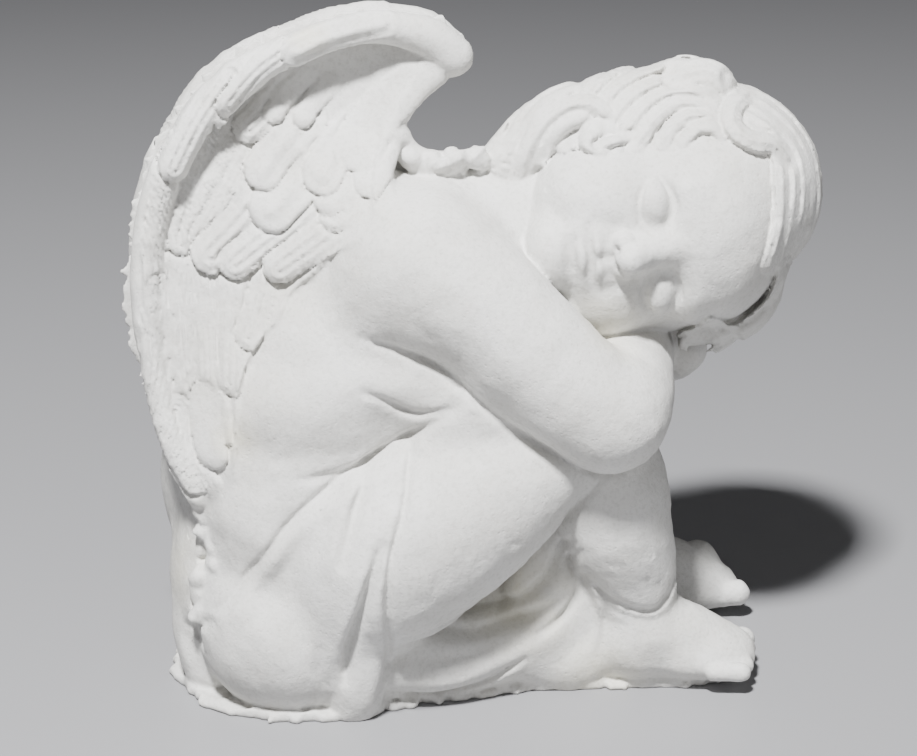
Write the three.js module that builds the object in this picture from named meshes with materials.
// A winged cherub asleep on its folded arms, cast in one piece in pale stone.
// Millimetres, +X towards the toes, +Y towards the figure's left side, +Z up, underside on Z = 0.
//
// The solid is built up as clay is: rounded masses are added and blended in a block of signed
// distances, folds are pressed in, and the skin of the block is taken off as one closed surface.
import * as THREE from "three";

// ---- driving dimensions ------------------------------------------------------------------
const CELL = 3.4; // spacing of the block's lattice, whose layers lie half a step off the ground
const LEAST_FILLET = 2.6;
const TRIANGLES = 9800; // facets kept on the finished skin
const BLOCK_LOW = [-150, -96, -8];
const BLOCK_HIGH = [184, 96, 312];
const FAR = 60; // distance given to open air
const SLAB_HEIGHT = 4;
const WING_PARTING = 4.5; // depth of the groove between the two wings' rolls
const STONE_COLOUR = 0xdbdad1;

// The head's middle, the way the face looks and the way the crown points.
const HEAD = [90, -9, 206];
const FACE_WAY = [-0.06, -0.99, 0];
const CROWN_WAY = [0.985, -0.05, 0.08];
const SKULL_AT = [-4, 0, 11];
const SKULL = [55, 50, 53];

// The wings' rolled outer edge: x, z, radius of the roll, half the span between the two rolls.
const RIM = [
  [0, 281, 9, 9], [-9, 289, 8.5, 10], [-21, 293, 7.5, 11], [-34, 294.5, 7, 11.5],
  [-51, 292, 6.5, 12], [-69, 286, 7, 12.5], [-86, 278, 7.5, 13], [-101, 266, 7.5, 13.5],
  [-112, 253, 7.5, 14.5], [-121.5, 238, 7.5, 15.5], [-128, 221, 7, 16.5], [-132, 203, 6.5, 18],
  [-133, 178, 6.5, 20], [-131, 155, 6, 22], [-127, 132, 6, 26], [-121, 111, 6, 30],
  [-114, 98, 6, 33],
];
// Where a wing's face meets its front edge, and then the torso: x, z, half thickness there.
const SEAM = [
  [0, 272, 16], [-10, 265, 17], [-20, 254, 19], [-24, 243, 25], [-30, 231, 35], [-37, 220, 43],
  [-48, 211, 42], [-57, 203, 38], [-64, 195, 35], [-73, 187, 32], [-79, 177, 35], [-89, 165, 38],
  [-96, 150, 41], [-98, 130, 45], [-99, 108, 48],
];
// Feathers on a wing's face, lowest first: half width, rise of the tip, [x, z] line to the tip.
const FEATHERS = [
  [7, 2.2, [[-123, 219], [-127, 175], [-124, 135], [-119, 115]]],
  [6.5, 2.2, [[-113, 215], [-118, 170], [-114, 130]]],
  [6, 2.2, [[-103, 211], [-107, 165], [-105, 127]]],
  [5.5, 2.4, [[-93, 209], [-97, 175], [-99, 150]]],
  [5.5, 2.4, [[-80, 207], [-84, 187], [-91, 169]]], [9, 4, [[-123, 134], [-121, 116], [-113, 103]]],
  [6.5, 4.6, [[-110, 142], [-110, 129], [-108, 118]]],
  [6, 1.8, [[-104, 260], [-114, 236], [-121, 209]]], [6, 2, [[-96, 260], [-108, 234], [-117, 207]]],
  [6, 2.4, [[-89, 257], [-101, 234], [-112, 209]]],
  [6.5, 2.6, [[-82, 248], [-95, 227], [-107, 209]]],
  [8.5, 4.8, [[-76, 232], [-92, 214], [-105, 202]]],
  [7.5, 4.6, [[-62, 226], [-80, 210], [-95, 199]]], [7, 4.8, [[-45, 222], [-62, 208], [-77, 197]]],
  [5.5, 3.2, [[-35, 233], [-46, 224], [-54, 219]]], [5.5, 4, [[-37, 237], [-48, 230], [-56, 225]]],
  [9.5, 5.2, [[-54, 243], [-68, 232], [-79, 221]]], [6, 4, [[-20, 246], [-31, 240], [-39, 233]]],
  [8, 4.6, [[-38, 255], [-49, 246], [-58, 235]]], [8, 5, [[-61, 257], [-73, 247], [-82, 236]]],
  [6.5, 4, [[-69, 269], [-78, 261], [-87, 253]]], [4.5, 4, [[-62, 273], [-70, 267], [-76, 259]]],
  [4.5, 4, [[-52, 270], [-58, 264], [-64, 257]]], [9, 3, [[-18, 270], [-30, 260], [-42, 245]]],
];
// The same along the rolled edge.
const ROLL_FEATHERS = [
  [4.5, 2, [[-122, 265], [-130, 254], [-136, 241]]],
  [5, 1.8, [[-110, 262], [-121, 240], [-127, 214]]],
  [5, 1.8, [[-122, 232], [-129, 205], [-130, 170]]],
  [5, 1.8, [[-128, 190], [-132, 160], [-126, 125], [-116, 104]]],
  [4.5, 2.6, [[-82, 280], [-90, 270], [-97, 257]]],
  [6.5, 3.6, [[-94, 278], [-108, 260], [-119, 240]]],
  [6, 2.4, [[-64, 290], [-82, 279], [-95, 265]]], [6.5, 1.8, [[-30, 297], [-52, 292], [-67, 286]]],
];
// Locks of hair on the near side, lowest first, drawn in the sketch plane: half width, rise, line.
const LOCKS = [
  [4, 2.4, [[-66, 20], [-80, 25], [-96, 19]]], [4, 2.8, [[-48, 30], [-66, 28], [-82, 20]]],
  [4.5, 3.4, [[-42, 58], [-58, 48], [-70, 36], [-80, 24]]],
  [4.5, 3.4, [[-34, 57], [-47, 51], [-58, 41], [-65, 27]]],
  [4, 3.4, [[-30, 55], [-44, 50], [-54, 42], [-60, 28]]],
  [5, 3.2, [[22, 66], [4, 69], [-14, 67], [-27, 58], [-38, 44]]],
  [4.5, 3.6, [[28, 60], [12, 64], [-2, 63], [-15, 57], [-25, 46], [-29, 37]]],
  [4.2, 3.8, [[28, 53], [14, 58], [0, 57], [-12, 51], [-20, 42], [-25, 33]]],
  [4, 4, [[27, 47], [15, 52], [3, 52], [-7, 46], [-14, 38], [-20, 30]]],
  [3.6, 4, [[25, 43], [15, 47], [5, 47], [-3, 41], [-9, 33], [-12, 29]]],
  [3.4, 3.6, [[24, 39], [16, 42], [9, 41], [3, 36], [-1, 30]]],
  [3.2, 3.2, [[25, 34], [19, 37], [13, 36], [8, 31]]],
  [6, 3, [[6, 60], [18, 63], [27, 60], [33, 53]]],
  [4.2, 3, [[30, 60], [46, 54], [59, 43], [67, 27], [69, 7], [65, -10], [58, -24]]],
  [4, 3.2, [[32, 55], [46, 48], [57, 37], [63, 24], [64, 7], [61, -9], [56, -22]]],
  [4, 3.2, [[34, 50], [46, 42], [54, 33], [59, 22], [60, 7], [57, -9], [53, -22]]],
  [3.8, 3.4, [[36, 44], [46, 37], [52, 28], [55, 18], [55, 6], [53, -9], [50, -22]]],
  [3.6, 3.6, [[36, 38], [43, 33], [49, 25], [50, 14], [50, 0], [48, -12], [45, -22]]],
  [4.6, 4.8, [[38, 54], [31, 47], [29, 39], [33, 33], [40, 30], [47, 30], [53, 24]]],
  [3.8, 4, [[40, -16], [47, -24], [57, -23]]],
  [4.4, 4.6, [[-60, 16], [-56, 30], [-48, 41], [-37, 47], [-28, 46], [-24, 39], [-29, 31]]],
  [3.4, 5, [[-52, 24], [-46, 34], [-38, 40], [-32, 39], [-34, 33], [-42, 29]]],
  [4.2, 4.8, [[-24, 37], [-30, 36], [-32, 30], [-27, 28]]],
  [2.6, 3.4, [[-28, 29], [-21, 31], [-14, 33]]],
  [5, 4.4, [[56, -22], [51, -36], [42, -46], [32, -51], [22, -48]]],
  [3.6, 4.4, [[34, -53], [22, -61], [12, -60], [11, -53], [19, -50]]],
];
// The sketch plane's normal, towards the eye.
const SKETCH_WAY = [-0.132, -0.942, 0.309];
// The upper hem of the cloth round the hips, and the front edge of its hanging end: x, z.
const HEM = [[-22, 130], [-43, 117], [-57, 109], [-76, 93], [-90, 74], [-103, 55], [-112, 48]];
const SASH = [[-23, 130], [-30, 103], [-36, 84], [-38, 64], [-37, 48], [-36, 30], [-41, 8]];
// Folds drawn on the side of the cloth: [x, z] line, width, depth (a ridge where below zero).
const FOLDS = [
  [HEM, 2.4, 2],
  [HEM.map(([x, z]) => [x + 3, z - 3.6]), 3.6, -1.8],
  [SASH, 2.4, 3.2],
  [[[-39, 92], [-44, 76], [-49, 57], [-53, 38], [-55, 18]], 2.4, 5.5],
  [[[-45, 84], [-51, 62], [-58, 40], [-60, 24]], 3.5, -1.6],
  [[[-42, 118], [-48, 104], [-53, 90], [-57, 76]], 2.4, 2.6],
  [[[-74, 96], [-76, 76], [-77, 52], [-74, 30]], 8, 3],
  [[[-66, 40], [-66, 28], [-63, 16]], 2.4, 1.6],
  [[[-100, 82], [-90, 64], [-84, 46]], 7, 1.6],
  [[[-36, 36], [-12, 35], [8, 34], [28, 39], [46, 46]], 2.4, 2.6],
  [[[-38, 10], [-16, 6], [4, 9], [18, 16], [28, 21]], 2.4, 3.4],
  [[[47, 78], [41, 64], [30, 50], [14, 38]], 2.4, 3],
  [[[50, 74], [47, 62], [52, 52]], 2.4, 2],
  [[[54, 60], [50, 46], [42, 36], [30, 30]], 2.4, 2.2],
  [[[-109, 46], [-116, 36], [-114, 26]], 2.4, 2.4],
  [[[-118, 48], [-124, 30], [-121, 12]], 2.4, -1.6],
];
// Creases pressed in along the legs, given like the folds.
const LEG_CREASES = [
  [[[15, 134], [30, 124], [47, 115], [56, 111], [67, 113], [75, 121], [82, 130]], 2.6, 2.6],
  [[[57, 110], [50, 99], [45, 90], [41, 82]], 2.4, 2.2],
  [[[47, 96], [32, 81], [21, 67], [8, 54], [-7, 45], [-22, 42], [-33, 43]], 2.4, 2.4],
  [[[51, 64], [58, 52], [68, 45], [82, 41], [90, 46], [95, 54]], 2.4, 2.4],
];
// The edge of the cast slab on the ground: x, y.
const SLAB = [
  [-128, -4], [-118, -34], [-98, -54], [-74, -63], [-44, -60], [-22, -53], [6, -49], [34, -44],
  [58, -46], [96, -50], [118, -46], [124, -34], [114, -14], [112, 14], [124, 26], [122, 46],
  [84, 54], [40, 48], [0, 50], [-40, 58], [-76, 62], [-104, 50], [-122, 26],
];

// ---- small vector helpers ----------------------------------------------------------------
const clamp = (v, low, high) => Math.min(Math.max(v, low), high);
const dot = (a, b) => a[0] * b[0] + a[1] * b[1] + a[2] * b[2];
const cross = (a, b) => [
  a[1] * b[2] - a[2] * b[1],
  a[2] * b[0] - a[0] * b[2],
  a[0] * b[1] - a[1] * b[0],
];
const unit = (a) => {
  const length = Math.hypot(...a);
  return a.map((v) => v / length);
};
const mix = (a, b, t) => a.map((v, i) => v + (b[i] - v) * t);

// Three square axes: forward, left and up.
function basis(forward, up) {
  const f = unit(forward);
  const u = unit(up.map((v, i) => v - f[i] * dot(up, f)));
  return [f, cross(u, f), u];
}

// Straight-line interpolation in a table of rising stations.
function table(at, stations, values) {
  let i = 1;
  while (i < stations.length - 1 && at > stations[i]) i += 1;
  const t = clamp((at - stations[i - 1]) / (stations[i] - stations[i - 1]), 0, 1);
  return values[i - 1] + (values[i] - values[i - 1]) * t;
}

// The lower of two distances, rounded over a width k where they meet.
function softMin(a, b, k) {
  const h = Math.max(k - Math.abs(a - b), 0);
  return h > 0 ? Math.min(a, b) - (h * h) / (4 * k) : Math.min(a, b);
}

// A Catmull-Rom curve through points, sampled about every step. Extra columns ride along.
function smoothPath(points, step) {
  if (points.length === 2) return points;
  const ends = [
    points[0].map((v, i) => 2 * v - points[1][i]),
    ...points,
    points.at(-1).map((v, i) => 2 * v - points.at(-2)[i]),
  ];
  const out = [];
  for (let i = 1; i < ends.length - 2; i += 1) {
    const [a, b, c, d] = ends.slice(i - 1, i + 3);
    const length = Math.hypot(...[0, 1, 2].map((k) => (k < a.length ? c[k] - b[k] : 0)));
    const count = Math.max(2, Math.ceil(length / step));
    for (let j = 0; j < count; j += 1) {
      const t = j / count;
      out.push(
        b.map(
          (_, k) =>
            0.5 *
            (2 * b[k] +
              (c[k] - a[k]) * t +
              (2 * a[k] - 5 * b[k] + 4 * c[k] - d[k]) * t ** 2 +
              (3 * b[k] - a[k] - 3 * c[k] + d[k]) * t ** 3),
        ),
      );
    }
  }
  out.push(points.at(-1));
  return out;
}

// ---- the block of distances --------------------------------------------------------------
class Clay {
  constructor(low, high) {
    this.first = low.map((v) => Math.floor(v / CELL));
    this.count = high.map((v, i) => Math.ceil(v / CELL) - this.first[i] + 1);
    this.d = new Float32Array(this.count[0] * this.count[1] * this.count[2]).fill(FAR);
  }

  index(i, j, k) {
    return (i * this.count[1] + j) * this.count[2] + k;
  }

  // Visits the lattice points in a box.
  visit(low, high, action) {
    const a = low.map((v, i) => clamp(Math.floor(v / CELL) - this.first[i], 0, this.count[i]));
    const b = high.map((v, i) => clamp(Math.ceil(v / CELL) - this.first[i] + 1, 0, this.count[i]));
    for (let i = a[0]; i < b[0]; i += 1) {
      for (let j = a[1]; j < b[1]; j += 1) {
        for (let k = a[2]; k < b[2]; k += 1) {
          const x = (this.first[0] + i) * CELL;
          const y = (this.first[1] + j) * CELL;
          const z = (this.first[2] + k + 0.5) * CELL;
          action(this.index(i, j, k), x, y, z);
        }
      }
    }
  }

  // Shapes joined in a block of their own on the same lattice.
  static gather(shapes, inner) {
    const low = [0, 1, 2].map((i) => Math.min(...shapes.map((s) => s.low[i])));
    const high = [0, 1, 2].map((i) => Math.max(...shapes.map((s) => s.high[i])));
    const group = new Clay(low, high);
    for (const shape of shapes) {
      group.visit(shape.low, shape.high, (at, x, y, z) => {
        group.d[at] = softMin(group.d[at], shape.distance(x, y, z), inner);
      });
    }
    return group;
  }

  // Visits the points shared with another block on the same lattice.
  meet(group, action) {
    const a = [0, 1, 2].map((i) => Math.max(this.first[i], group.first[i]));
    const b = [0, 1, 2].map((i) =>
      Math.min(this.first[i] + this.count[i], group.first[i] + group.count[i]),
    );
    for (let i = a[0]; i < b[0]; i += 1) {
      for (let j = a[1]; j < b[1]; j += 1) {
        for (let k = a[2]; k < b[2]; k += 1) {
          const [p, q, r] = this.first;
          const [s, t, u] = group.first;
          action(this.index(i - p, j - q, k - r), group.index(i - s, j - t, k - u));
        }
      }
    }
  }

  // Adds shapes, with a fillet of width k against what is there, or the least the lattice can hold.
  add(shapes, k = 0, inner = 2) {
    const group = shapes instanceof Clay ? shapes : Clay.gather(shapes, inner);
    const width = Math.max(k, LEAST_FILLET);
    this.meet(group, (mine, theirs) => {
      this.d[mine] = softMin(this.d[mine], group.d[theirs], width);
    });
  }

  // Takes shapes away, with an edge rounded over k.
  cut(shapes, k = 0) {
    const group = Clay.gather(shapes, 0);
    this.meet(group, (mine, theirs) => {
      this.d[mine] = -softMin(-this.d[mine], group.d[theirs], k);
    });
  }
}

// ---- shapes ------------------------------------------------------------------------------
const MARGIN = 16;

// An ellipsoid, turned so that its radii lie along the given axes.
function egg(centre, radii, axes = [[1, 0, 0], [0, 1, 0], [0, 0, 1]]) {
  const reach = [0, 1, 2].map(
    (i) => MARGIN + Math.hypot(...radii.map((r, a) => r * axes[a][i])),
  );
  return {
    low: centre.map((c, i) => c - reach[i]),
    high: centre.map((c, i) => c + reach[i]),
    distance(x, y, z) {
      const p = [x - centre[0], y - centre[1], z - centre[2]];
      let near = 0;
      let slope = 0;
      for (let i = 0; i < 3; i += 1) {
        const q = dot(axes[i], p) / radii[i];
        near += q * q;
        slope += (q / radii[i]) ** 2;
      }
      near = Math.sqrt(near);
      return (near * (near - 1)) / Math.max(Math.sqrt(slope), 1e-6);
    },
  };
}


// A rounded limb along [x, y, z, radius] points.
function limb(points, step = 6) {
  const path = smoothPath(points, step);
  return path.slice(1).map((b, i) => {
    const a = path[i];
    const reach = Math.max(a[3], b[3]) + MARGIN;
    const ab = [b[0] - a[0], b[1] - a[1], b[2] - a[2]];
    const square = Math.max(dot(ab, ab), 1e-9);
    return {
      low: [0, 1, 2].map((k) => Math.min(a[k], b[k]) - reach),
      high: [0, 1, 2].map((k) => Math.max(a[k], b[k]) + reach),
      distance(x, y, z) {
        const p = [x - a[0], y - a[1], z - a[2]];
        const s = clamp(dot(p, ab) / square, 0, 1);
        const away = Math.hypot(p[0] - s * ab[0], p[1] - s * ab[1], p[2] - s * ab[2]);
        return away - (a[3] + (b[3] - a[3]) * s);
      },
    };
  });
}

// Nearest point on a flat line: distance, share along it and the extra columns there.
function nearest(line, u, v) {
  let best = { away: Infinity };
  for (let i = 0; i < line.length - 1; i += 1) {
    const a = line[i];
    const b = line[i + 1];
    const du = b[0] - a[0];
    const dv = b[1] - a[1];
    const square = Math.max(du * du + dv * dv, 1e-9);
    const s = clamp(((u - a[0]) * du + (v - a[1]) * dv) / square, 0, 1);
    const away = Math.hypot(u - a[0] - s * du, v - a[1] - s * dv);
    if (away < best.away) best = { away, share: (i + s) / (line.length - 1), i, s };
  }
  best.extra = line[best.i].slice(2).map((e, k) => e + (line[best.i + 1][k + 2] - e) * best.s);
  return best;
}

function inside(outline, u, v) {
  let odd = false;
  outline.forEach(([au, av], i) => {
    const [bu, bv] = outline[(i + 1) % outline.length];
    if (av > v !== bv > v && u < ((bu - au) * (v - av)) / (bv - av) + au) odd = !odd;
  });
  return odd;
}

// Remembers a function of two lattice coordinates.
function remember(compute) {
  const known = new Map();
  return (u, v) => {
    const key = Math.round((2 * u) / CELL) * 4096 + Math.round((2 * v) / CELL);
    if (!known.has(key)) known.set(key, compute(u, v));
    return known.get(key);
  };
}

// Draws a line of [x, z] points on one side of the figure: a groove, or a ridge if depth < 0.
function engrave(clay, points, width, depth, side) {
  const line = smoothPath(points, 3);
  const pad = 2.5 * width;
  const [xs, zs] = [line.map((p) => p[0]), line.map((p) => p[1])];
  const low = [Math.min(...xs) - pad, side < 0 ? -90 : 8, Math.min(...zs) - pad];
  const high = [Math.max(...xs) + pad, side < 0 ? -8 : 90, Math.max(...zs) + pad];
  const cutting = remember((x, z) => {
    const { away, share } = nearest(line, x, z);
    const fade = Math.sin(Math.PI * clamp(share, 0.001, 0.999)) ** 0.5;
    return depth * fade * Math.exp(-((away / width) ** 2));
  });
  clay.visit(low, high, (at, x, y, z) => {
    clay.d[at] += cutting(x, z);
  });
}

const featherRise = (share) => 0.15 + 0.85 * share ** 1.3;
const lockRise = (share) => Math.sin(Math.PI * clamp(share, 0.03, 0.97)) ** 0.45;

// The height at (u, v) of feathers or locks laid one over another, each with a groove round it.
function relief(shapes, profile) {
  const laid = shapes.map(([wide, rise, line]) => ({ wide, rise, line: smoothPath(line, 4) }));
  return (u, v) => {
    let height = 0;
    for (const { wide, rise, line } of laid) {
      const { away, share } = nearest(line, u, v);
      if (away < wide) {
        height = rise * profile(share) * (0.4 + 0.6 * Math.sqrt(1 - (away / wide) ** 2));
      } else if (away < wide + 4) {
        height -= 1.3 * Math.exp(-(((away - wide) / 1.6) ** 2)) * profile(share);
      }
    }
    return height;
  };
}

// ---- the body ----------------------------------------------------------------------------
function torso(clay) {
  clay.add([egg([-72, 0, 48], [55, 60, 52])]);
  clay.add([egg([-68, 0, 104], [54, 58, 50])], 24);
  clay.add([egg([-48, 0, 150], [54, 57, 48], basis([1, 0, -0.4], [0.4, 0, 1]))], 24);
  clay.add([egg([-20, 0, 190], [40, 54, 38], basis([1, 0, -0.4], [0.4, 0, 1]))], 24);
  clay.add([egg([-12, 0, 150], [46, 46, 36])], 20);
  clay.add(limb([[-20, 0, 200, 30], [10, -4, 205, 27], [50, -5, 208, 27]]), 16);
  clay.add([egg([-92, 20, 84], [37, 34, 52], basis([1, 0, 0.1], [-0.1, 0, 1]))], 6);
}

function legs(clay) {
  clay.add(limb([[-50, 34, 56, 42], [-4, 46, 86, 40], [30, 49, 101, 34], [56, 48, 110, 27]]), 6);
  const farShin = [[62, 47, 116, 24], [72, 47, 98, 25], [80, 46, 76, 24], [88, 45, 54, 19]];
  clay.add(limb([...farShin, [90, 44, 36, 16]]), 2.5);
  const nearThigh = [[-50, -32, 56, 42], [-32, -42, 74, 43], [-4, -46, 90, 38], [24, -49, 106, 27]];
  clay.add(limb([...nearThigh, [46, -48, 117, 19]]), 3);
  const nearShin = [[57, -44, 118, 23], [64, -43, 98, 25], [68, -42, 76, 24.5], [75, -40, 57, 20]];
  clay.add(limb([...nearShin, [79, -38, 38, 17]]), 1.5);
  for (const side of [-1, 1]) {
    for (const [line, width, depth] of LEG_CREASES) engrave(clay, line, width, depth, side);
  }
}

// A bare foot from its heel to the tip of its big toe. side is -1 for the right foot.
function foot(clay, heel, toe, side) {
  const along = unit([toe[0] - heel[0], toe[1] - heel[1], 0]);
  const length = Math.hypot(toe[0] - heel[0], toe[1] - heel[1]);
  const at = (share, lateral, height) => [
    heel[0] + along[0] * length * share,
    heel[1] + along[1] * length * share + side * lateral,
    height,
  ];
  clay.add([egg(at(0.12, 0, 22), [20, 18, 20])], 3);
  clay.add(limb([[...at(0.12, 0, 24), 17], [...at(0.45, 1, 20), 16], [...at(0.74, 3, 14), 10]]), 7);
  clay.add([egg(at(0.6, 3, 13), [24, 19, 11])], 7);
  const toes = [[1, 6.2], [0.99, 5], [0.96, 4.7], [0.92, 4.4], [0.87, 4.2]];
  toes.forEach(([share, radius], i) => {
    const lateral = -7 + i * 7.4;
    const root = [...at(share - 0.25, lateral * 0.9 + 1, 11), radius];
    clay.add(limb([root, [...at(share - 0.06, lateral + 1, radius + 6.5), radius]]), 1.5);
  });
}

function arms(clay) {
  clay.add(limb([[-16, 38, 196, 33], [10, 50, 184, 27], [38, 60, 160, 24], [64, 62, 140, 22]]), 16);
  clay.add(limb([[64, 62, 138, 22], [84, 46, 134, 20], [100, 22, 138, 16], [104, 2, 144, 13]]), 3);
  const near = [[-18, -38, 196, 33], [4, -50, 184, 28], [24, -59, 166, 25.4]];
  clay.add(limb(near), 18);
  clay.add(limb([near[2], [46, -66, 146, 24.5], [60, -67, 137, 24]]), 3);
  const forearm = [[58, -67, 137, 24], [66, -56, 142, 22], [73, -34, 146, 20], [84, -4, 148, 16]];
  clay.add(limb([...forearm, [94, 20, 148, 13]]), 4);
  clay.add([egg([2, -36, 138], [36, 30, 26])], 14);
  clay.add([egg([-60, -26, 140], [46, 34, 30], basis([1, 0, 0.25], [-0.25, 0, 1]))], 5);
  clay.add([egg([-30, -40, 150], [24, 21, 12], basis([1, 0, -0.2], [0.2, 0, 1]))], 10);
  for (const side of [-1, 1]) {
    engrave(clay, [[-46, 150], [-35, 145], [-27, 140.5], [-19, 139], [-6, 143]], 2.6, 2.4, side);
    engrave(clay, [[-46, 172], [-32, 168], [-18, 162], [-5, 153], [8, 141], [24, 128]], 2.8, 2.6, side);
    const overhang = [[-4, 143], [-14, 136], [-24, 129], [-36, 120], [-50, 114], [-74, 110]];
    engrave(clay, overhang, 2.6, 2.4, side);
  }
}

// ---- the head ----------------------------------------------------------------------------
const HEAD_AXES = basis(FACE_WAY, CROWN_WAY);
const turnOut = (v) => [0, 1, 2].map((i) => dot(v, HEAD_AXES.map((axis) => axis[i])));

// A point given forward of, left of and above the middle of the head.
const inHead = (f, l, u) => turnOut([f, l, u]).map((v, i) => v + HEAD[i]);
const headEgg = (f, l, u, rf, rl, ru) => egg(inHead(f, l, u), [rf, rl, ru], HEAD_AXES);

function face(part) {
  part.add([headEgg(...SKULL_AT, ...SKULL)], 6);
  part.add([headEgg(8, 0, -22, 42, 41, 40)], 14);
  for (const side of [-1, 1]) part.add([headEgg(23, side * 21, -28, 24, 21, 22)], 12);
  part.add([headEgg(33, 0, -48, 14, 14, 12)], 10);
  part.add([headEgg(28, 0, 20, 23, 33, 22)], 14);
  for (const side of [-1, 1]) {
    part.cut([headEgg(58, side * 18.5, -2, 12, 13, 8.5)], 8);
    part.add([headEgg(38.5, side * 18.5, -7, 11.5, 11.5, 8.5)], 3);
  }
  part.add([headEgg(42, 0, -35, 9, 15, 10)], 8);
  const nose = [[44, 0, 4, 4.2], [48.5, 0, -6, 4.2], [53, 0, -14, 5], [56.5, 0, -19, 6]];
  part.add(limb(nose.map(([f, l, u, r]) => [...inHead(f, l, u), r]), 3), 7);
  for (const side of [-1, 1]) part.add([headEgg(51, side * 6.6, -21, 5.4, 4, 4.4)], 3);
  part.add([headEgg(48.6, 0, -32.4, 5, 11, 3)], 2);
  part.add([headEgg(48.2, 0, -38.6, 5.2, 8.5, 3.7)], 2);
  part.add([headEgg(37, 0, -50, 14, 14, 10)], 5);
}

// Long wavy locks down the far side of the head, from the crown to the nape.
function backLocks() {
  return Array.from({ length: 11 }, (_, i) => {
    const b = 62 - 12 * i;
    const wave = i % 2 ? 4 : -4;
    const line = [[62, 0.55 * b], [40, 0.85 * b + wave], [12, b], [-16, b + wave], [-44, b - 4]];
    return [7, 2.8, [...line, [-70, 0.9 * b - 8]]];
  });
}

// Raises the locks out of the mass of hair, each on the side it was drawn for.
function combHair(part) {
  const [eye, right, up] = basis(SKETCH_WAY, [0, 0, 1]);
  const nearSide = relief(LOCKS, lockRise);
  const farSide = relief(backLocks(), lockRise);
  part.visit([-30, -80, 130], [180, 70, 290], (at, x, y, z) => {
    if (Math.abs(part.d[at]) > 9) return;
    const off = [x - HEAD[0], y - HEAD[1], z - HEAD[2]];
    const near = clamp((dot(off, eye) + 24) / 14, 0, 1);
    if (near > 0) part.d[at] -= near * nearSide(dot(off, right), dot(off, up));
    if (near < 1) part.d[at] -= (1 - near) * farSide(off[0], off[2]);
  });
}

// The mass of hair, thick over the crown and nape, with one lock falling past the brow.
function hair(part) {
  part.add([headEgg(-12, -9, 18, 59, 49, 55.5)], 1.5);
  const mass = new Clay([-40, -80, 130], [182, 70, 292]);
  mass.add([headEgg(-12, -13, -3, 49, 49, 54)], 4);
  mass.add([headEgg(-6, -56, 22, 14, 12, 16)], 14);
  const nape = [[78, -4, 250, 18], [52, -6, 249, 16], [34, -8, 239, 12], [16, -10, 226, 9]];
  mass.add(limb([...nape, [0, -12, 218, 8]]), 6);
  const falling = [[140, -13, 192, 8], [132, -20, 177, 10], [120, -24, 165, 9], [106, -23, 157, 5]];
  mass.add(limb(falling), 10);
  mass.add(limb([[130, -4, 196, 9], [121, -9, 180, 11], [110, -13, 168, 9]]), 4);
  mass.add(limb([[-25, -14, 254, 4], [-21, -14, 243, 5], [-13, -14, 236, 6], [0, -13, 234, 6]]), 2);
  part.add(mass, 1);
  combHair(part);
}

function head(clay) {
  const part = new Clay([-40, -80, 130], [182, 70, 292]);
  face(part);
  hair(part);
  clay.add(part, 1.5);
}

// ---- the wings ---------------------------------------------------------------------------
// Two wings cast back to back: a hollowed, feathered face on each side of one rolled edge.
function wings(clay) {
  const [feathers, rollFeathers] = [relief(FEATHERS, featherRise), relief(ROLL_FEATHERS, featherRise)];
  const [rim, seam] = [smoothPath(RIM, 4), smoothPath(SEAM, 4)];
  const outline = [
    ...rim.map((p) => p.slice(0, 2)), [-95, 96], [-60, 120], [-30, 190],
    ...seam.slice(1, 19).reverse().map((p) => p.slice(0, 2)),
  ];
  const closed = [...outline, outline[0]];
  const plan = remember((x, z) => {
    const { away, share, extra } = nearest(rim, x, z);
    const [radius, span] = extra;
    const gap = nearest(closed, x, z).away;
    const hollow = table(share, [0, 0.08, 0.16, 0.4, 0.5, 0.65, 1], [3, 10, 16, 16, 10, 5, 3]);
    const { away: offSeam, extra: [shore] } = nearest(seam, x, z);
    const crest = span + radius - hollow;
    const u = away / Math.max(away + offSeam, 1e-3);
    return {
      away, radius, span,
      edge: inside(outline, x, z) ? gap : -gap,
      face: crest + (shore - crest) * u ** 1.8 + feathers(x, z),
      roll: rollFeathers(x, z),
      fillet: table(share, [0, 0.2, 0.4, 0.8, 1], [9, 5, 4, 5, 3]),
    };
  });
  clay.visit([-150, -60, 80], [20, 60, 312], (at, x, y, z) => {
    const p = plan(x, z);
    const fin = -softMin(p.face - Math.abs(y), p.edge, 6);
    const parting = WING_PARTING * Math.exp(-((y / (0.5 * p.span)) ** 2));
    const band = Math.hypot(p.away, Math.max(Math.abs(y) - p.span, 0)) - p.radius + parting;
    const feathered = band - p.roll * clamp(Math.abs(y) / 6 - 0.5, 0, 1);
    clay.d[at] = softMin(clay.d[at], softMin(fin, feathered, 2), p.fillet);
  });
}

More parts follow.
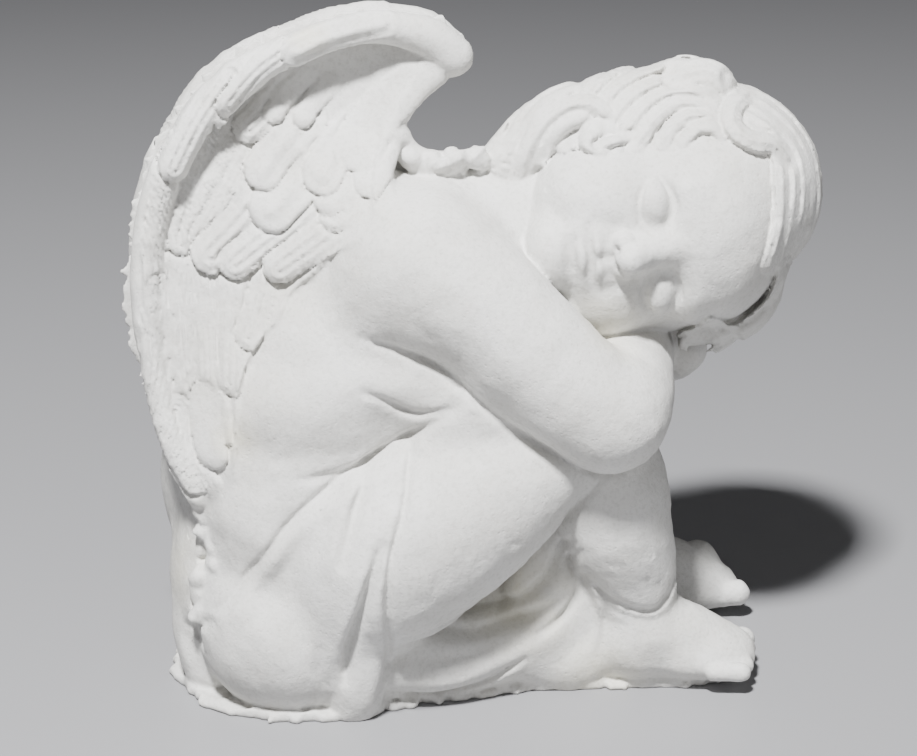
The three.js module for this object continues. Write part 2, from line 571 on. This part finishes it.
// ---- drapery and slab --------------------------------------------------------------------
function drapery(clay) {
  clay.add([egg([-74, -32, 35], [42, 38, 41])], 5);
  clay.add([egg([-62, -38, 72], [32, 26, 50], basis([0.6, 0, 0.8], [-0.8, 0, 0.6]))], 8);
  clay.add([egg([-74, 32, 35], [42, 38, 41])], 5);
  const sash = [[-29, -50, 118, 7], [-38, -54, 92, 11], [-44, -58, 66, 12], [-46, -58, 40, 13]];
  clay.add(limb([...sash, [-48, -56, 18, 13], [-50, -54, 4, 11]]), 4);
  clay.add([egg([10, 0, 30], [64, 38, 34])], 5);
  const roll = [[-44, -42, 20, 18], [-14, -42, 20, 18], [16, -37, 22, 18], [38, -32, 30, 18]];
  clay.add(limb([...roll, [47, -26, 38, 17]]), 2);
  clay.add(limb([[44, -30, 94, 5], [43, -31, 78, 9], [40, -32, 62, 14], [36, -32, 46, 18]]), 4);
  clay.add(limb([[50, -34, 66, 7], [56, -36, 46, 9], [58, -36, 24, 10], [52, -36, 10, 10]]), 6);
  clay.add([egg([46, -33, 13], [31, 17, 17])], 6);
  clay.add(limb([[-110, -6, 50, 11], [-112, -12, 30, 14], [-110, -18, 10, 13]]), 5);
  clay.add(limb([[-104, 10, 44, 16], [-108, 4, 20, 16], [-106, 0, 6, 14]]), 5);
  for (const side of [-1, 1]) {
    for (const [line, width, depth] of FOLDS) engrave(clay, line, width, depth, side);
  }
}

// The thin sheet of stone that ran out round the foot of the mould.
function slab(clay) {
  const edge = smoothPath([...SLAB, SLAB[0]], 4);
  const reach = remember((x, y) => (inside(edge, x, y) ? 1 : -1) * nearest(edge, x, y).away);
  clay.visit([-136, -70, -8], [158, 62, 12], (at, x, y, z) => {
    clay.d[at] = softMin(clay.d[at], -softMin(reach(x, y), SLAB_HEIGHT - z, 2), 2);
  });
}

// Marks the lattice points of one kind that can be reached from a first one.
function flood(clay, start, solid) {
  const reached = new Uint8Array(clay.d.length);
  const steps = [clay.count[1] * clay.count[2], clay.count[2], 1];
  const queue = [start];
  reached[start] = 1;
  while (queue.length) {
    const at = queue.pop();
    steps.forEach((step, axis) => {
      const along = Math.floor(at / step) % clay.count[axis];
      for (const way of [-1, 1]) {
        const next = at + way * step;
        const stays = along + way >= 0 && along + way < clay.count[axis];
        if (stays && !reached[next] && clay.d[next] < 0 === solid) {
          reached[next] = 1;
          queue.push(next);
        }
      }
    });
  }
  return reached;
}

// Fills hollows sealed inside the stone and drops crumbs that float free of it.
function makeWhole(clay) {
  const open = flood(clay, 0, false);
  clay.d.forEach((d, at) => {
    if (d >= 0 && !open[at]) clay.d[at] = -0.5;
  });
  const heart = [-72, 0, 60].map((v, i) => Math.round(v / CELL) - clay.first[i]);
  const stone = flood(clay, clay.index(...heart), true);
  clay.d.forEach((d, at) => {
    if (d < 0 && !stone[at]) clay.d[at] = 0.5;
  });
}

// ---- taking off the skin -----------------------------------------------------------------
// Each lattice cube is split into six tetrahedra round one diagonal, so the skin always closes.
const CORNERS = [[0, 0, 0], [1, 0, 0], [1, 1, 0], [0, 1, 0], [0, 0, 1], [1, 0, 1], [1, 1, 1], [0, 1, 1]];
const TETRAHEDRA = [[0, 1, 2, 6], [0, 2, 3, 6], [0, 3, 7, 6], [0, 7, 4, 6], [0, 4, 5, 6], [0, 5, 1, 6]];

function skin(clay) {
  const positions = [];
  const faces = [];
  const crossing = new Map();
  const size = clay.d.length;
  const place = (at) => {
    const k = at % clay.count[2];
    const j = Math.floor(at / clay.count[2]) % clay.count[1];
    const i = Math.floor(at / clay.count[2] / clay.count[1]);
    return [i, j, k].map((v, axis) => (v + clay.first[axis] + (axis === 2 ? 0.5 : 0)) * CELL);
  };
  const vertex = (a, b) => {
    const key = a < b ? a * size + b : b * size + a;
    if (!crossing.has(key)) {
      const t = clamp(clay.d[a] / (clay.d[a] - clay.d[b]), 0.03, 0.97);
      positions.push(mix(place(a), place(b), t));
      crossing.set(key, positions.length - 1);
    }
    return crossing.get(key);
  };
  const push = (a, b, c, solid) => {
    const [p, q, r] = [positions[a], positions[b], positions[c]];
    const normal = cross(q.map((v, i) => v - p[i]), r.map((v, i) => v - p[i]));
    const inward = dot(normal, place(solid).map((v, i) => v - p[i])) > 0;
    faces.push(inward ? [a, c, b] : [a, b, c]);
  };
  for (let i = 0; i < clay.count[0] - 1; i += 1) {
    for (let j = 0; j < clay.count[1] - 1; j += 1) {
      for (let k = 0; k < clay.count[2] - 1; k += 1) {
        const cube = CORNERS.map(([a, b, c]) => clay.index(i + a, j + b, k + c));
        const full = cube.filter((at) => clay.d[at] < 0).length;
        if (full === 0 || full === 8) continue;
        for (const tetrahedron of TETRAHEDRA) {
          const at = tetrahedron.map((corner) => cube[corner]);
          const solid = at.filter((v) => clay.d[v] < 0);
          const open = at.filter((v) => clay.d[v] >= 0);
          if (solid.length === 1) {
            push(...open.map((v) => vertex(solid[0], v)), solid[0]);
          } else if (solid.length === 3) {
            push(...solid.map((v) => vertex(v, open[0])), solid[0]);
          } else if (solid.length === 2) {
            const ring = [
              vertex(solid[0], open[0]), vertex(solid[0], open[1]),
              vertex(solid[1], open[1]), vertex(solid[1], open[0]),
            ];
            push(ring[0], ring[1], ring[2], solid[0]);
            push(ring[0], ring[2], ring[3], solid[0]);
          }
        }
      }
    }
  }
  return { positions, faces };
}

// Eases the lattice's steps out of the skin without shrinking it. The underside stays flat.
function ease({ positions, faces }, passes) {
  const near = positions.map(() => new Set());
  for (const [a, b, c] of faces) {
    near[a].add(b).add(c);
    near[b].add(a).add(c);
    near[c].add(a).add(b);
  }
  for (let pass = 0; pass < 2 * passes; pass += 1) {
    const share = pass % 2 ? -0.52 : 0.5;
    const moved = positions.map((p, v) => {
      const ground = p[2] < 1e-3;
      const ring = [...near[v]].filter((w) => !ground || positions[w][2] < 1e-3);
      const mean = [0, 1, 2].map((i) => ring.reduce((sum, w) => sum + positions[w][i], 0) / ring.length);
      return mix(p, mean, share);
    });
    moved.forEach((p, v) => { positions[v] = p; });
  }
  return { positions, faces };
}

// ---- thinning the skin -------------------------------------------------------------------
// Folds away the edges that matter least, by squared distance to the planes that met there.
class Heap {
  constructor() {
    this.items = [];
  }

  push(item) {
    const { items } = this;
    items.push(item);
    let i = items.length - 1;
    while (i > 0) {
      const parent = (i - 1) >> 1;
      if (items[parent].cost <= items[i].cost) break;
      [items[parent], items[i]] = [items[i], items[parent]];
      i = parent;
    }
  }

  pop() {
    const { items } = this;
    const top = items[0];
    const last = items.pop();
    if (items.length) {
      items[0] = last;
      let i = 0;
      for (;;) {
        const [left, right] = [2 * i + 1, 2 * i + 2];
        let least = i;
        if (left < items.length && items[left].cost < items[least].cost) least = left;
        if (right < items.length && items[right].cost < items[least].cost) least = right;
        if (least === i) break;
        [items[least], items[i]] = [items[i], items[least]];
        i = least;
      }
    }
    return top;
  }
}

const faceNormal = (p, q, r) => cross(q.map((v, i) => v - p[i]), r.map((v, i) => v - p[i]));

function thin({ positions, faces }, wanted) {
  const around = positions.map(() => new Set());
  faces.forEach((face, f) => face.forEach((v) => around[v].add(f)));
  const quadric = positions.map(() => new Float64Array(10));
  for (const [a, b, c] of faces) {
    const normal = faceNormal(positions[a], positions[b], positions[c]);
    const area = Math.hypot(...normal);
    if (area < 1e-9) continue;
    const n = normal.map((v) => v / area);
    const d = -dot(n, positions[a]);
    const [x, y, z] = n;
    const terms = [x * x, x * y, x * z, x * d, y * y, y * z, y * d, z * z, z * d, d * d];
    for (const v of [a, b, c]) terms.forEach((term, i) => { quadric[v][i] += term * area; });
  }
  const error = (q, [x, y, z]) =>
    q[0] * x * x + 2 * q[1] * x * y + 2 * q[2] * x * z + 2 * q[3] * x + q[4] * y * y +
    2 * q[5] * y * z + 2 * q[6] * y + q[7] * z * z + 2 * q[8] * z + q[9];
  const solve = new THREE.Matrix3();
  const stamp = new Uint32Array(positions.length);
  const heap = new Heap();
  const offer = (a, b) => {
    const q = quadric[a].map((v, i) => v + quadric[b][i]);
    const choices = [positions[a], positions[b], mix(positions[a], positions[b], 0.5)];
    solve.set(q[0], q[1], q[2], q[1], q[4], q[5], q[2], q[5], q[7]);
    const scale = (q[0] + q[4] + q[7]) / 3;
    if (Math.abs(solve.determinant()) > 1e-4 * scale ** 3) {
      const best = new THREE.Vector3(-q[3], -q[6], -q[8]).applyMatrix3(solve.invert()).toArray();
      if (Math.hypot(...best.map((v, i) => v - choices[2][i])) < 3 * CELL) choices.push(best);
    }
    const span = Math.hypot(...positions[a].map((v, i) => v - positions[b][i]));
    let pick = { cost: Infinity };
    for (const place of choices) {
      const cost = error(q, place) + 1e-4 * span * span;
      if (cost < pick.cost) pick = { cost, place };
    }
    heap.push({ ...pick, a, b, age: stamp[a] + stamp[b] });
  };
  const neighbours = (v) => {
    const found = new Set();
    for (const f of around[v]) for (const other of faces[f]) if (other !== v) found.add(other);
    return found;
  };
  const offerAll = () => {
    positions.forEach((_, v) => {
      if (around[v]) for (const other of neighbours(v)) if (v < other) offer(v, other);
    });
  };
  const quality = (p, q, r) => {
    const edges = [[p, q], [q, r], [r, p]].map(([a, b]) => a.map((v, i) => v - b[i]));
    const sides = edges.map((edge) => dot(edge, edge));
    return Math.hypot(...faceNormal(p, q, r)) / Math.max(...sides, 1e-12);
  };
  // Whether moving a vertex would fold a facet over or squash it thin.
  const spoils = (v, gone, place) => {
    for (const f of around[v]) {
      if (faces[f].includes(gone)) continue;
      const old = faces[f].map((w) => positions[w]);
      const moved = faces[f].map((w) => (w === v ? place : positions[w]));
      const [was, is] = [quality(...old), quality(...moved)];
      if (is < Math.min(0.08, 0.8 * was)) return true;
      const [p, q] = [faceNormal(...old), faceNormal(...moved)];
      if (was > 0.04 && dot(p, q) < 0.25 * Math.hypot(...p) * Math.hypot(...q)) return true;
    }
    return false;
  };
  let alive = faces.length;
  let before = Infinity;
  while (alive > wanted) {
    if (!heap.items.length) {
      if (alive === before) break;
      before = alive;
      offerAll();
    }
    const { a, b, place, age } = heap.pop();
    if (!around[a] || !around[b] || age !== stamp[a] + stamp[b]) continue;
    const near = neighbours(a);
    if (!near.has(b)) continue;
    const shared = [...neighbours(b)].filter((v) => near.has(v));
    if (shared.length !== 2 || spoils(a, b, place) || spoils(b, a, place)) continue;
    for (const f of [...around[b]]) {
      if (faces[f].includes(a)) {
        for (const v of faces[f]) around[v].delete(f);
        faces[f] = null;
        alive -= 1;
      } else {
        faces[f] = faces[f].map((v) => (v === b ? a : v));
        around[a].add(f);
      }
    }
    quadric[b].forEach((v, i) => { quadric[a][i] += v; });
    positions[a] = place;
    around[b] = null;
    stamp[a] += 1;
    for (const v of neighbours(a)) offer(Math.min(a, v), Math.max(a, v));
  }
  return { positions, faces: faces.filter(Boolean) };
}

// ---- the statue --------------------------------------------------------------------------
function build() {
  const clay = new Clay(BLOCK_LOW, BLOCK_HIGH);
  torso(clay);
  legs(clay);
  foot(clay, [72, -38], [134, -36], -1);
  foot(clay, [84, 40], [145, 30], 1);
  clay.add([egg([127, 45, 20], [10, 9, 12])], 4);
  arms(clay);
  drapery(clay);
  wings(clay);
  head(clay);
  slab(clay);
  clay.visit(BLOCK_LOW, BLOCK_HIGH, (at, x, y, z) => {
    clay.d[at] = Math.max(clay.d[at], -z);
  });
  makeWhole(clay);
  return clay;
}

function toGeometry({ positions, faces }) {
  const used = [...new Set(faces.flat())];
  const place = new Map(used.map((v, i) => [v, i]));
  const box = new THREE.Box3().setFromPoints(used.map((v) => new THREE.Vector3(...positions[v])));
  const middle = box.getCenter(new THREE.Vector3());
  const corners = used.flatMap((v) => {
    const [x, y, z] = positions[v];
    return [x - middle.x, y - middle.y, z < 0.1 ? 0 : z];
  });
  const geometry = new THREE.BufferGeometry();
  geometry.setAttribute("position", new THREE.Float32BufferAttribute(corners, 3));
  geometry.setIndex(faces.flat().map((v) => place.get(v)));
  geometry.computeVertexNormals();
  return geometry;
}

const statue = new THREE.Mesh(
  toGeometry(thin(ease(skin(build()), 3), TRIANGLES)),
  new THREE.MeshStandardMaterial({ color: STONE_COLOUR, roughness: 0.85, metalness: 0 }),
);
statue.name = "angel_statue";

const group = new THREE.Group();
group.name = "sleeping_cherub";
group.add(statue);

export default group;
